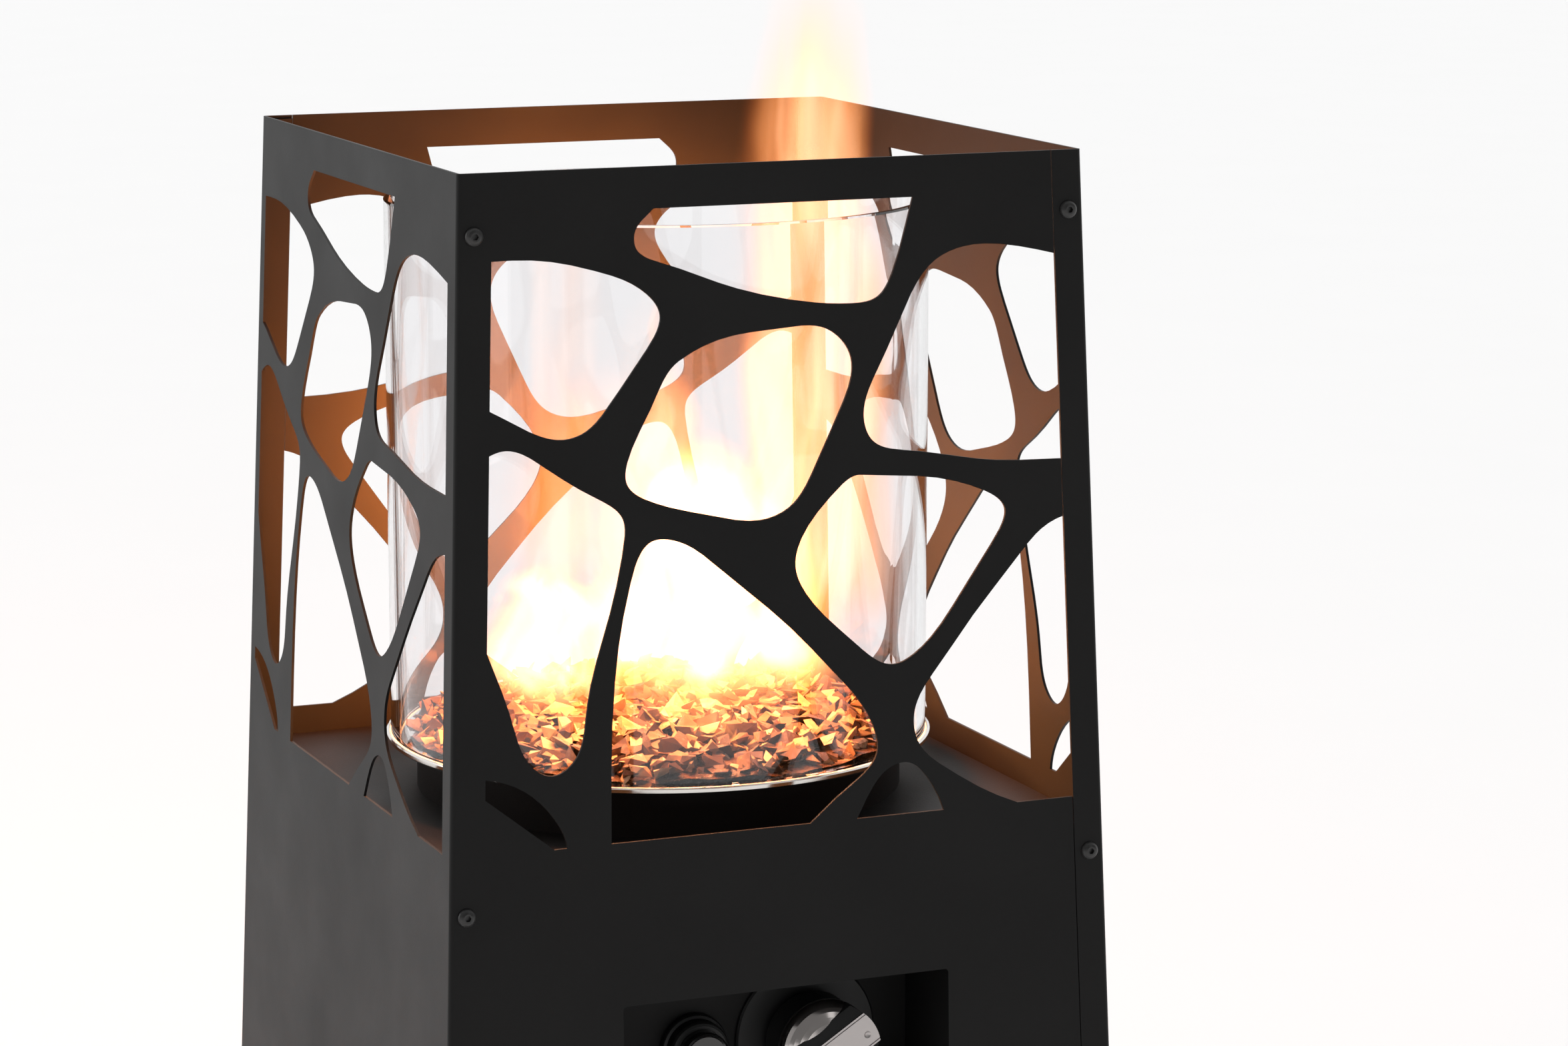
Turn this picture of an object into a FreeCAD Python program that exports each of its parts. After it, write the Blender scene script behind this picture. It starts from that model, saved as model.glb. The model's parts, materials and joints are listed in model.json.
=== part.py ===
"""Tapered square patio heater with a glass flame cylinder behind cut-out sheet walls.

Frame: origin at the centre of the footprint on the ground, +Z up, controls on the -Y face.
Lengths are in millimetres.
"""
import math
import os

import FreeCAD
import Part

V = FreeCAD.Vector

# Overall body
HEIGHT = 1150.0
TOP_HALF = 175.0
BASE_HALF = 215.0
SLOPE = (BASE_HALF - TOP_HALF) / HEIGHT
LEAN = math.degrees(math.atan(SLOPE))
SHEET = 1.5
BEND_RADIUS = 2.5
SHELL_BOTTOM = 16.0
SEAM_INSET = 17.7
SEAM_GAP = 0.5

# Layers measured inwards from the outer face
POST_OUTER = SHEET
POST_INNER = 3.0
POST_EDGE = 2.8
POST_LEG_FRONT = 17.0
POST_LEG_SIDE = 10.0
PLATE_INSET = POST_INNER
PLATE_CORNER = 0.8
PLATE = 2.0

# Cut-out pattern: depths are measured down from the rim
WINDOW_TOP = 21.6
WINDOW_BOTTOM = 352.0
FRONT_MARGINS = (18.5, 17.7)
SIDE_MARGINS = (10.5, 14.0)
SIDE_SHIFT = -2.5
CUT_FROM = 160.0
CUT_TO = 235.0

# Levels
DECK_TOP = 782.0
DECK_SKIRT = 26.0
CEILING_TOP = 602.0
BASE_TOP = 20.0
SCREW_LEVELS = (36.0, 767.0, 1118.0)
SCREW_INSET = 9.0

# Control recess
RECESS_HALF = 94.0
RECESS_BOTTOM = 623.0
RECESS_TOP = 710.0
RECESS_BACK = -134.0
CONTROL_Z = 665.0
KNOB_X = 33.0
IGNITER_X = -33.0
KNOB_RADIUS = 27.3
GRIP_RADIUS = 27.2
FIN_BASE = 4.0
FIN_FOOT = 15.3
FIN_SHOULDER = 10.8
FIN_HALF = 9.6
FIN_TOP = 15.0
GRIP_PLATE = 1.3
GRIP_ANGLE = 32.0

# Burner and glass
DRUM_RADIUS = 137.0
DRUM_TOP = 809.0
RING_RADIUS = 154.0
RING_TOP = 813.5
GLASS_RADIUS = 151.5
GLASS_WALL = 5.0
GLASS_BOTTOM = 813.3
GLASS_TOP = 1115.0

# Service door in the back face
DOOR_HALF = 149.0
DOOR_BOTTOM = 61.0
DOOR_TOP = 589.0
DOOR_GAP = 1.0
DOOR_RETURN = 12.0
HINGE_X = 151.5
HINGE_OUT = 4.6
HINGE_LEVELS = (150.0, 500.0)
LATCH_X = -128.0
LATCH_Z = 325.0

# Wheels
WHEEL_RADIUS = 40.0
WHEEL_X = 186.0
WHEEL_Y = 150.0

# Outline of every cut-out, as points (x from the face centre, depth below the rim).
# Closed cells are complete loops; open cells run out past the straight window edge.
CLOSED_CELLS = (
    ((-57, 101), (-30, 90), (0, 87), (27, 89), (40, 104), (34, 131), (20, 159), (5, 181),
     (-10, 187), (-40, 183), (-72, 174), (-87, 163), (-85, 148), (-72, 123)),
    ((45, 167), (80, 170), (112, 178), (129, 190), (120, 211), (100, 239), (76, 265),
     (64, 270), (40, 256), (15, 231), (7, 213), (16, 190), (29, 176)),
)
OPEN_CELLS = (
    ((-182, 46), (-158, 45), (-130, 46), (-100, 53), (-76, 64), (-67, 76), (-75, 95),
     (-94, 120), (-109, 135), (-118, 138), (-145, 130), (-180, 116)),
    ((-65, 14), (-70, 22), (-80, 33), (-80, 41), (-65, 50), (-30, 63), (10, 73), (40, 76),
     (56, 73), (65, 59), (72, 37), (79, 14)),
    ((182, 60), (159, 55), (130, 49), (105, 49), (88, 56), (70, 82), (56, 110), (47, 137),
     (51, 148), (75, 156), (115, 163), (182, 166)),
    ((-182, 162), (-165, 146), (-154, 142), (-130, 153), (-105, 169), (-89, 182), (-89, 196),
     (-98, 233), (-111, 280), (-119, 307), (-131, 313), (-141, 308), (-153, 280),
     (-165, 246), (-180, 196)),
    ((7, 358), (14, 352), (34, 336), (53, 317), (50, 300), (30, 273), (0, 242), (-35, 212),
     (-60, 195), (-73, 194), (-86, 216), (-94, 255), (-98, 305), (-99, 358)),
    ((182, 197), (164, 197), (154, 201), (135, 219), (110, 247), (90, 272), (75, 297),
     (77, 313), (95, 330), (118, 344), (150, 357), (182, 366)),
    ((-182, 311), (-166, 312), (-151, 317), (-130, 336), (-124, 348), (-123, 358)),
    ((37, 359), (41, 352), (50, 336), (60, 326), (71, 324), (83, 334), (92, 352), (94, 359)),
)


# ---------------------------------------------------------------- basic shapes

def half_width(z):
    return TOP_HALF + SLOPE * (HEIGHT - z)


def box(x0, x1, y0, y1, z0, z1):
    return Part.makeBox(x1 - x0, y1 - y0, z1 - z0, V(x0, y0, z0))


def rod(radius, start, axis, length):
    return Part.makeCylinder(radius, length, V(*start), V(*axis))


def pipe(outer, inner, start, axis, length):
    return rod(outer, start, axis, length).cut(rod(inner, start, axis, length))


def merge(shapes):
    result = shapes[0]
    for shape in shapes[1:]:
        result = result.fuse(shape)
    return result.removeSplitter()


def group(shapes):
    return Part.makeCompound(list(shapes))


def placed(shape, position, axis):
    result = shape.copy()
    result.Placement = FreeCAD.Placement(V(*position), FreeCAD.Rotation(V(0, 0, 1), V(*axis)))
    return result


def turned(points, position=(0, 0, 0), axis=(0, 0, 1)):
    """Solid of revolution from (radius, height) points."""
    outline = Part.makePolygon([V(r, 0, h) for r, h in points + points[:1]])
    solid = Part.Face(outline).revolve(V(0, 0, 0), V(0, 0, 1), 360)
    return placed(solid, position, axis)


def hexagon(across_flats, height, position=(0, 0, 0), axis=(0, 0, 1)):
    radius = across_flats / math.sqrt(3.0)
    angles = [math.radians(60 * k) for k in range(7)]
    outline = Part.makePolygon([V(radius * math.cos(a), radius * math.sin(a), 0) for a in angles])
    return placed(Part.Face(outline).extrude(V(0, 0, height)), position, axis)


def bent_tube(points, radius, bend):
    """Round tube swept along straight runs joined by arcs."""
    corners = [V(*p) for p in points]
    edges = []
    start = corners[0]
    for before, corner, after in zip(corners, corners[1:], corners[2:]):
        back = (before - corner).normalize()
        ahead = (after - corner).normalize()
        half = back.getAngle(ahead) / 2.0
        reach = bend / math.tan(half)
        inward = (back + ahead).normalize()
        middle = corner + inward * (bend / math.sin(half) - bend)
        entry = corner + back * reach
        leave = corner + ahead * reach
        edges.append(Part.makeLine(start, entry))
        edges.append(Part.Arc(entry, middle, leave).toShape())
        start = leave
    edges.append(Part.makeLine(start, corners[-1]))
    circle = Part.Wire(Part.makeCircle(radius, corners[0], corners[1] - corners[0]))
    return Part.Wire(edges).makePipeShell([circle], True, True)


def coil_spring(radius, wire, length, turns, position, axis):
    """Light wire coil, swept along twelve straight runs a turn."""
    count = 12 * turns
    rise = (length - 2.0 * wire) / count
    angles = [math.radians(30 * k) for k in range(count + 1)]
    path = Part.makePolygon([V(radius * math.cos(a), radius * math.sin(a), wire + rise * k)
                             for k, a in enumerate(angles)])
    corners = [math.radians(60 * k) for k in range(7)]
    section = Part.makePolygon([V(radius + wire * math.cos(a), 0, wire + wire * math.sin(a))
                                for a in corners])
    return placed(path.makePipeShell([section], True, False, 1), position, axis)


def quarter(shape, turns):
    """The shape moved clockwise, seen from above, to the face that many quarter turns on."""
    result = shape.copy()
    result.rotate(V(0, 0, 0), V(0, 0, 1), -90.0 * turns)
    return result


# ---------------------------------------------------------------- tapered shapes

def leaning_block(low, high):
    """Block with flat leaning sides between two rectangles given as (x0, x1, y0, y1, z)."""
    x0, x1, y0, y1, bottom = low
    u0, u1, v0, v1, top = high
    block = Part.makeWedge(x0, bottom, -y1, -v1, u0, x1, top, -y0, -v0, u1)
    block.rotate(V(0, 0, 0), V(1, 0, 0), 90)
    return block


def frustum(z0, z1, inset_x, inset_y, radius=0.0):
    a0 = half_width(z0) - inset_x
    b0 = half_width(z0) - inset_y
    a1 = half_width(z1) - inset_x
    b1 = half_width(z1) - inset_y
    solid = leaning_block((-a0, a0, -b0, b0, z0), (-a1, a1, -b1, b1, z1))
    if radius > 0.0:
        upright = [e for e in solid.Edges if abs(e.Vertexes[0].Z - e.Vertexes[-1].Z) > 1.0]
        solid = solid.makeFillet(radius, upright)
    return solid


def wall_ring(z0, z1, outer, inner):
    outside = frustum(z0, z1, outer, outer, max(BEND_RADIUS - outer, 0.3))
    inside = frustum(z0 - 5.0, z1 + 5.0, inner, inner, max(BEND_RADIUS - inner, 0.3))
    return outside.cut(inside)


def leaning_slab(x0, x1, z0, z1, outer, inner):
    """Slab parallel to the back face, between two depths under it."""
    profile = [(half_width(z0) - outer, z0), (half_width(z1) - outer, z1),
               (half_width(z1) - inner, z1), (half_width(z0) - inner, z0)]
    outline = Part.makePolygon([V(x0, y, z) for y, z in profile + profile[:1]])
    return Part.Face(outline).extrude(V(x1 - x0, 0, 0))


def on_back(shape, x, z):
    """Move a shape built about the origin (Y outwards, Z up) onto the leaning back face."""
    result = shape.copy()
    turn = FreeCAD.Rotation(V(1, 0, 0), LEAN)
    result.Placement = FreeCAD.Placement(V(x, half_width(z), z), turn).multiply(result.Placement)
    return result


# ---------------------------------------------------------------- cut-out pattern

def window_face(margins):
    corners = []
    for x_sign, depth in ((-1, WINDOW_TOP), (1, WINDOW_TOP), (1, WINDOW_BOTTOM),
                          (-1, WINDOW_BOTTOM)):
        margin = margins[0] if x_sign < 0 else margins[1]
        reach = half_width(HEIGHT - depth) - margin
        corners.append(V(x_sign * reach, -CUT_FROM, HEIGHT - depth))
    return Part.Face(Part.makePolygon(corners + corners[:1]))


def cell_face(points, closed, shift):
    nodes = [V(x + shift, -CUT_FROM, HEIGHT - depth) for x, depth in points]
    curve = Part.BSplineCurve()
    curve.interpolate(Points=nodes, PeriodicFlag=closed)
    edges = [curve.toShape()]
    if not closed:
        edges.append(Part.makeLine(nodes[-1], nodes[0]))
    return Part.Face(Part.Wire(edges))


def pattern_cutters(margins, shift):
    window = window_face(margins)
    faces = [cell_face(points, True, shift) for points in CLOSED_CELLS]
    faces += [cell_face(points, False, shift) for points in OPEN_CELLS]
    cutters = []
    for face in faces:
        for piece in face.common(window).Faces:
            cutters.append(piece.extrude(V(0, CUT_FROM - CUT_TO, 0)))
    return cutters


def all_cutters():
    front = pattern_cutters(FRONT_MARGINS, 0.0)
    side = pattern_cutters(SIDE_MARGINS, SIDE_SHIFT)
    cutters = []
    for turns in range(4):
        source = front if turns % 2 == 0 else side
        cutters += [quarter(cutter, turns) for cutter in source]
    return cutters


# ---------------------------------------------------------------- shell

def on_screw_places(shape, levels=SCREW_LEVELS):
    """Copies of a back-face shape at both edges of the back and front faces."""
    copies = []
    for z in levels:
        for side in (-1, 1):
            back = on_back(shape, side * (half_width(z) - SCREW_INSET), z)
            copies.append(back)
            copies.append(quarter(back, 2))
    return copies


def screw_holes(radius=2.75):
    return on_screw_places(rod(radius, (0, -12, 0), (0, 1, 0), 24))


def sheet_region(extra):
    """Region of the back-right sheet: it wraps round to the front-right and back-left seams."""
    front = []
    back = []
    for z in (SHELL_BOTTOM - 5.0, HEIGHT + 5.0):
        edge = half_width(z) + 5.0
        seam = half_width(z) - SEAM_INSET
        front.append((seam - extra, edge, -edge, 0.0, z))
        back.append((-seam - extra, edge, 0.0, edge, z))
    return merge([leaning_block(*front), leaning_block(*back)])


def recess_cutter():
    cutter = box(-RECESS_HALF, RECESS_HALF, -CUT_TO, -CUT_FROM, RECESS_BOTTOM, RECESS_TOP)
    edges = [e for e in cutter.Edges if abs(e.Vertexes[0].Y - e.Vertexes[-1].Y) > 1.0]
    return cutter.makeFillet(2.0, edges)


def door_cutter():
    half = DOOR_HALF + DOOR_GAP
    cutter = box(-half, half, CUT_FROM, CUT_TO, DOOR_BOTTOM - DOOR_GAP, DOOR_TOP + DOOR_GAP)
    edges = [e for e in cutter.Edges if abs(e.Vertexes[0].Y - e.Vertexes[-1].Y) > 1.0]
    return cutter.makeFillet(3.0, edges)


def shell_sheets(cutters):
    shell = wall_ring(SHELL_BOTTOM, HEIGHT, 0.0, SHEET)
    shell = shell.cut(cutters + screw_holes() + [recess_cutter(), door_cutter()])
    front_left = shell.cut(sheet_region(SEAM_GAP))
    back_right = shell.common(sheet_region(0.0))
    return front_left, back_right


def corner_strip(side, end, depths_x, depths_y):
    """Upright strip in one corner, between two depths under the side face and the end face."""
    ends = []
    for z in (SHELL_BOTTOM + 1.0, HEIGHT - 2.0):
        half = half_width(z)
        x0, x1 = sorted(side * (half - depth) for depth in depths_x)
        y0, y1 = sorted(end * (half - depth) for depth in depths_y)
        ends.append((x0, x1, y0, y1, z))
    return leaning_block(*ends)


def corner_posts():
    """Each post is a wide strip behind the front or back face and a narrow one behind the side."""
    holes = screw_holes()
    strips = []
    for side in (-1, 1):
        for end in (-1, 1):
            wide = corner_strip(side, end, (POST_EDGE, POST_LEG_FRONT), (POST_OUTER, POST_INNER))
            strips.append(wide.cut(holes))
            strips.append(corner_strip(side, end, (POST_OUTER, POST_INNER),
                                       (POST_INNER + 0.2, POST_LEG_SIDE)))
    return group(strips)


def shell_screw():
    body = turned([(0, -14), (2.5, -14), (2.5, 0), (4.9, 0), (4.9, 0.7), (4.5, 1.5),
                   (3.6, 2.3), (2.4, 2.75), (0, 2.75)], axis=(0, 1, 0))
    return body.cut(hexagon(3.0, 2.4, (0, 0.9, 0), (0, 1, 0)))


def shell_nuts():
    """Round threaded inserts: behind the plate skirts low down, behind the posts at the top."""
    inner = pipe(3.5, 2.53, (0, -12.2, 0), (0, 1, 0), 7.0)
    outer = pipe(3.5, 2.53, (0, -10.2, 0), (0, 1, 0), 7.0)
    return group(on_screw_places(inner, SCREW_LEVELS[:2]) + on_screw_places(outer, SCREW_LEVELS[2:]))


# ---------------------------------------------------------------- inner plates

def flanged_plate(top, skirt_low, skirt_high):
    """Plate with a skirt folded up or down all round."""
    plate = frustum(top - PLATE, top, PLATE_INSET, PLATE_INSET, PLATE_CORNER)
    skirt = frustum(skirt_low, skirt_high, PLATE_INSET, PLATE_INSET, PLATE_CORNER)
    inner = PLATE_INSET + PLATE
    skirt = skirt.cut(frustum(skirt_low - 1.0, skirt_high + 1.0, inner, inner))
    return merge([plate, skirt])


def vent_slots(z, radius, count, length):
    slots = []
    for k in range(count):
        slot = box(radius, radius + length, -3.0, 3.0, z - 5.0, z + 5.0)
        slot.rotate(V(0, 0, 0), V(0, 0, 1), 360.0 * (k + 0.5) / count)
        slots.append(slot)
    return slots


def burner_deck():
    deck = flanged_plate(DECK_TOP, DECK_TOP - DECK_SKIRT, DECK_TOP)
    tools = screw_holes() + vent_slots(DECK_TOP, 72.0, 16, 30.0)
    tools.append(rod(24.0, (0, 0, DECK_TOP - 5), (0, 0, 1), 10))
    tools.append(box(-26, 26, 92, 116, DECK_TOP - 5, DECK_TOP + 5))
    tools += drum_screw_shapes(2.2)
    return deck.cut(tools)


def compartment_ceiling():
    ceiling = flanged_plate(CEILING_TOP, CEILING_TOP - PLATE, CEILING_TOP + 8.0)
    tools = vent_slots(CEILING_TOP, 110.0, 12, 40.0)
    tools.append(rod(7.2, INLET, (0, 0, 1), 60))
    return ceiling.cut(tools)


def wheel_slot(side):
    x0 = side * WHEEL_X - 14.0
    return box(x0, x0 + 28.0, WHEEL_Y - 38.0, WHEEL_Y + 38.0, 10.0, 30.0)


def base_plate():
    base = flanged_plate(BASE_TOP, BASE_TOP - PLATE, BASE_TOP + 28.0)
    tools = screw_holes() + [wheel_slot(-1), wheel_slot(1)]
    tools += vent_slots(BASE_TOP, 60.0, 8, 60.0)
    return base.cut(tools)


def front_feet():
    foot = turned([(0, 0), (17, 0), (19, 2), (19, 12), (14, 18), (0, 18)])
    return group([foot.translated(V(side * 178.0, -178.0, 0)) for side in (-1, 1)])


def bottle_ring():
    ring = turned([(154, BASE_TOP), (157, BASE_TOP), (157, BASE_TOP + 24), (154, BASE_TOP + 24)])
    return ring.cut(box(-60, 60, 100, 200, BASE_TOP - 1, BASE_TOP + 40))


# ---------------------------------------------------------------- wheels

def wheel_brackets():
    ear = box(0, 3, -20, 20, 0, 34)
    ear = ear.makeFillet(8.0, [e for e in ear.Edges
                               if abs(e.Vertexes[0].X - e.Vertexes[-1].X) > 1 and e.CenterOfMass.z > 30])
    bracket = merge([ear, box(-10, 3, -20, 20, 0, 2.5)])
    outer = merge([ear, box(0, 6.0, -20, 20, 0, 2.5)])
    pieces = []
    for side in (-1, 1):
        inner_piece = bracket.translated(V(WHEEL_X - 16.5, WHEEL_Y, BASE_TOP))
        outer_piece = outer.translated(V(WHEEL_X + 13.5, WHEEL_Y, BASE_TOP))
        for piece in (inner_piece, outer_piece):
            piece = piece.cut(rod(4.0, (100, WHEEL_Y, WHEEL_RADIUS), (1, 0, 0), 150))
            pieces.append(piece if side > 0 else piece.mirror(V(0, 0, 0), V(1, 0, 0)))
    return group(pieces)


def stub_axles():
    shaft = turned([(0, -21), (6.5, -21), (6.5, -18), (6.5, -16.5), (4.0, -16.5), (4.0, 19.5),
                    (3.4, 20.5), (0, 20.5)], (WHEEL_X, WHEEL_Y, WHEEL_RADIUS), (1, 0, 0))
    return group([shaft, shaft.mirror(V(0, 0, 0), V(1, 0, 0))])


def wheel_hub(side):
    hub = turned([(4.05, -12), (9, -12), (9, -3), (22, -3), (22, -11), (26, -11), (26, 11),
                  (22, 11), (22, 3), (9, 3), (9, 12), (4.05, 12)])
    holes = [rod(4.0, (15.5 * math.cos(a), 15.5 * math.sin(a), -5), (0, 0, 1), 10)
             for a in [math.radians(60 * k) for k in range(6)]]
    return placed(hub.cut(holes), (side * WHEEL_X, WHEEL_Y, WHEEL_RADIUS), (1, 0, 0))


def wheel_tyre(side):
    tyre = turned([(26, -11), (33, -12), (38, -11), (40, -7), (40, 7), (38, 11), (33, 12),
                   (26, 11)])
    grooves = [turned([(39, z - 0.8), (42, z - 0.8), (42, z + 0.8), (39, z + 0.8)]) for z in (-4, 4)]
    return placed(tyre.cut(grooves), (side * WHEEL_X, WHEEL_Y, WHEEL_RADIUS), (1, 0, 0))


# ---------------------------------------------------------------- control recess

def control_tray():
    wall = SHEET
    outer = box(-RECESS_HALF - wall, RECESS_HALF + wall, -250, RECESS_BACK + wall,
                RECESS_BOTTOM - wall, RECESS_TOP + wall)
    outer = outer.common(frustum(500, 800, -50, SHEET))
    lip = frustum(500, 800, -50, SHEET).cut(frustum(499, 801, -60, 2.0 * SHEET))
    lip = lip.common(box(-106, 106, -250, -150, RECESS_BOTTOM - 12, RECESS_TOP + 12))
    hollow = box(-RECESS_HALF, RECESS_HALF, -260, RECESS_BACK, RECESS_BOTTOM, RECESS_TOP)
    tray = merge([outer, lip]).cut(hollow)
    holes = [rod(9.3, (KNOB_X, -140, CONTROL_Z), (0, 1, 0), 10),
             rod(BARREL_RADIUS + 0.2, (IGNITER_X, -140, CONTROL_Z), (0, 1, 0), 10)]
    return tray.cut(holes + tray_stud_shapes(2.0))


def tray_stud_shapes(radius):
    stud = rod(radius, (0, -10, 0), (0, 1, 0), 10 - SHEET)
    studs = []
    for z in (RECESS_BOTTOM - 7.0, RECESS_TOP + 7.0):
        for x in (-80.0, 80.0):
            studs.append(quarter(on_back(stud, x, z), 2))
    return studs


def tray_studs():
    nut = hexagon(7.0, 3.2, (0, -6.2, 0), (0, 1, 0))
    nuts = []
    for z in (RECESS_BOTTOM - 7.0, RECESS_TOP + 7.0):
        for x in (-80.0, 80.0):
            nuts.append(quarter(on_back(nut, x, z), 2))
    return group([merge([stud, part]) for stud, part in zip(tray_stud_shapes(2.0), nuts)])


# ---------------------------------------------------------------- knob and gas valve

VALVE_FACE = -131.0
SPRING_SEAT = -111.0
COLLAR_BACK = -127.0
KNOB_BACK = -161.5
KNOB_BODY = 18.8
INLET = (95.0, -95.0, 575.0)


def valve_bracket():
    plate = box(KNOB_X - 30, KNOB_X + 30, RECESS_BACK + SHEET, VALVE_FACE,
                CONTROL_Z - 28, CONTROL_Z + 28)
    tools = [rod(9.3, (KNOB_X, -140, CONTROL_Z), (0, 1, 0), 20)]
    for x in (-24, 24):
        for z in (-22, 22):
            tools.append(rod(1.9, (KNOB_X + x, -140, CONTROL_Z + z), (0, 1, 0), 20))
    return plate.cut(tools)


def valve_body():
    block = box(KNOB_X - 20, KNOB_X + 20, VALVE_FACE, -85, CONTROL_Z - 20, CONTROL_Z + 20)
    edges = [e for e in block.Edges if abs(e.Vertexes[0].Y - e.Vertexes[-1].Y) > 1.0]
    block = block.makeFillet(5.0, edges)
    ports = [rod(7.5, (33, -100, CONTROL_Z - 24), (0, 0, 1), 10),
             rod(7.0, (50, -100, CONTROL_Z), (1, 0, 0), 7),
             rod(5.0, (24, -88, CONTROL_Z + 12), (0, 1, 0), 7)]
    block = merge([block] + ports)
    tools = [rod(9.0, (KNOB_X, VALVE_FACE - 1, CONTROL_Z), (0, 1, 0), SPRING_SEAT - VALVE_FACE + 1),
             rod(5.05, (KNOB_X, SPRING_SEAT - 1, CONTROL_Z), (0, 1, 0), 21)]
    return block.cut(tools)


def knob_bezel():
    ring = turned([(9.3, 0), (41, 0), (41, 2), (40, 3), (9.3, 3)], axis=(0, -1, 0))
    return ring.translated(V(KNOB_X, RECESS_BACK, CONTROL_Z))


def push_collar():
    return pipe(8.95, 5.05, (KNOB_X, VALVE_FACE + 1, CONTROL_Z), (0, 1, 0), COLLAR_BACK - VALVE_FACE - 1)


def knob_spring():
    return coil_spring(7.0, 0.7, SPRING_SEAT - COLLAR_BACK - 0.6, 5,
                       (KNOB_X, SPRING_SEAT - 0.3, CONTROL_Z), (0, -1, 0))


def valve_stem():
    stem = rod(5.0, (KNOB_X, -175.2, CONTROL_Z), (0, 1, 0), 175.2 - 96.5)
    flange = rod(8.2, (KNOB_X, -134, CONTROL_Z), (0, 1, 0), 3.9)
    return merge([stem, flange])


def knob_turned(shape):
    """Knob shapes are drawn about the origin with Z towards the user."""
    shape = shape.copy()
    shape.rotate(V(0, 0, 0), V(0, 0, 1), GRIP_ANGLE)
    shape.rotate(V(0, 0, 0), V(1, 0, 0), 90)
    return shape.translated(V(KNOB_X, KNOB_BACK, CONTROL_Z))


def knob_skirt():
    edge = KNOB_RADIUS
    skirt = turned([(5.02, 0), (edge - 1.5, 0), (edge, 0.8), (edge, 2.6), (edge - 0.5, 4.2),
                    (edge - 1.5, 5.8), (edge - 3.1, 7.5), (edge - 5.2, 9.0), (edge - 7.8, 10.3),
                    (edge - 10.9, 11.3), (edge - 14.4, 12.0), (5.02, 12.4)])
    return knob_turned(skirt.cut(knob_fin_block(KNOB_RADIUS + 1.0)))


def knob_fin_block(reach):
    """Bar across the knob: upright at the foot, leaning in above the bright dome."""
    profile = [(-FIN_FOOT, FIN_BASE), (FIN_FOOT, FIN_BASE), (FIN_FOOT, FIN_SHOULDER),
               (FIN_HALF, FIN_TOP), (-FIN_HALF, FIN_TOP), (-FIN_FOOT, FIN_SHOULDER)]
    outline = Part.makePolygon([V(-40, y, z) for y, z in profile + profile[:1]])
    block = Part.Face(outline).extrude(V(80, 0, 0))
    return block.common(rod(reach, (0, 0, FIN_BASE), (0, 0, 1), FIN_TOP - FIN_BASE))


def knob_fin():
    """Black finger bar and the black body behind the bright skirt."""
    fin = knob_fin_block(GRIP_RADIUS).cut(rod(5.02, (0, 0, 0), (0, 0, 1), 14.2))
    body = turned([(5.02, -KNOB_BODY), (KNOB_RADIUS - 1.2, -KNOB_BODY),
                   (KNOB_RADIUS - 0.8, -KNOB_BODY + 1), (KNOB_RADIUS - 1.5, 0), (5.02, 0)])
    return knob_turned(group([fin, body]))


def knob_grip():
    """Satin plate on top of the fin with a fine groove inside each long edge."""
    top = FIN_TOP + GRIP_PLATE
    plate = box(-40, 40, -FIN_HALF, FIN_HALF, FIN_TOP, top)
    plate = plate.common(rod(GRIP_RADIUS, (0, 0, FIN_TOP), (0, 0, 1), GRIP_PLATE))
    grooves = [box(-40, 40, y - 0.35, y + 0.35, top - 0.6, top + 1.0)
               for y in (FIN_HALF - 1.3, 1.3 - FIN_HALF)]
    dimple = Part.makeSphere(3.0, V(21.0, -2.3, top + 2.2))
    return knob_turned(plate.cut(grooves + [dimple]))


# ---------------------------------------------------------------- igniter

BARREL_END = -72.0
BARREL_RADIUS = 16.0
CAP_RADIUS = 13.5
CAP_SEAT = -118.0
CAP_BACK = -127.0
CAP_FRONT = -156.0


def igniter_barrel():
    barrel = rod(BARREL_RADIUS, (IGNITER_X, RECESS_BACK, CONTROL_Z), (0, 1, 0),
                 BARREL_END - RECESS_BACK)
    bore = rod(CAP_RADIUS + 0.05, (IGNITER_X, RECESS_BACK - 1, CONTROL_Z), (0, 1, 0),
               CAP_SEAT - RECESS_BACK + 1)
    terminal = box(IGNITER_X - 3.2, IGNITER_X + 3.2, BARREL_END, BARREL_END + 8,
                   CONTROL_Z - 0.4, CONTROL_Z + 0.4)
    return merge([barrel, terminal]).cut(bore)


def igniter_nut():
    nut = hexagon(38.0, 6.0, (IGNITER_X, RECESS_BACK + SHEET, CONTROL_Z), (0, 1, 0))
    return nut.cut(rod(BARREL_RADIUS + 0.03, (IGNITER_X, -140, CONTROL_Z), (0, 1, 0), 30))


def igniter_bezel():
    inner = CAP_RADIUS + 0.05
    ring = turned([(inner, 0), (19.2, 0), (19.2, 3.5), (18.6, 4.6), (17.2, 5.2), (17.2, 11.5),
                   (16.4, 12.9), (15.2, 13.6), (inner, 13.6)], axis=(0, -1, 0))
    return ring.translated(V(IGNITER_X, RECESS_BACK, CONTROL_Z))


def igniter_cap():
    length = CAP_BACK - CAP_FRONT
    cap = turned([(0, 0), (CAP_RADIUS, 0), (CAP_RADIUS, length - 1.6), (CAP_RADIUS - 0.5, length - 0.6),
                  (CAP_RADIUS - 1.3, length), (CAP_RADIUS - 2.2, length - 0.5), (5, length - 1.0),
                  (0, length - 1.1)], axis=(0, -1, 0))
    return cap.translated(V(IGNITER_X, CAP_BACK, CONTROL_Z))


def igniter_spring():
    return coil_spring(7.0, 0.7, CAP_SEAT - CAP_BACK - 0.6, 3, (IGNITER_X, CAP_SEAT - 0.3, CONTROL_Z),
                       (0, -1, 0))


# ---------------------------------------------------------------- gas path

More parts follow.
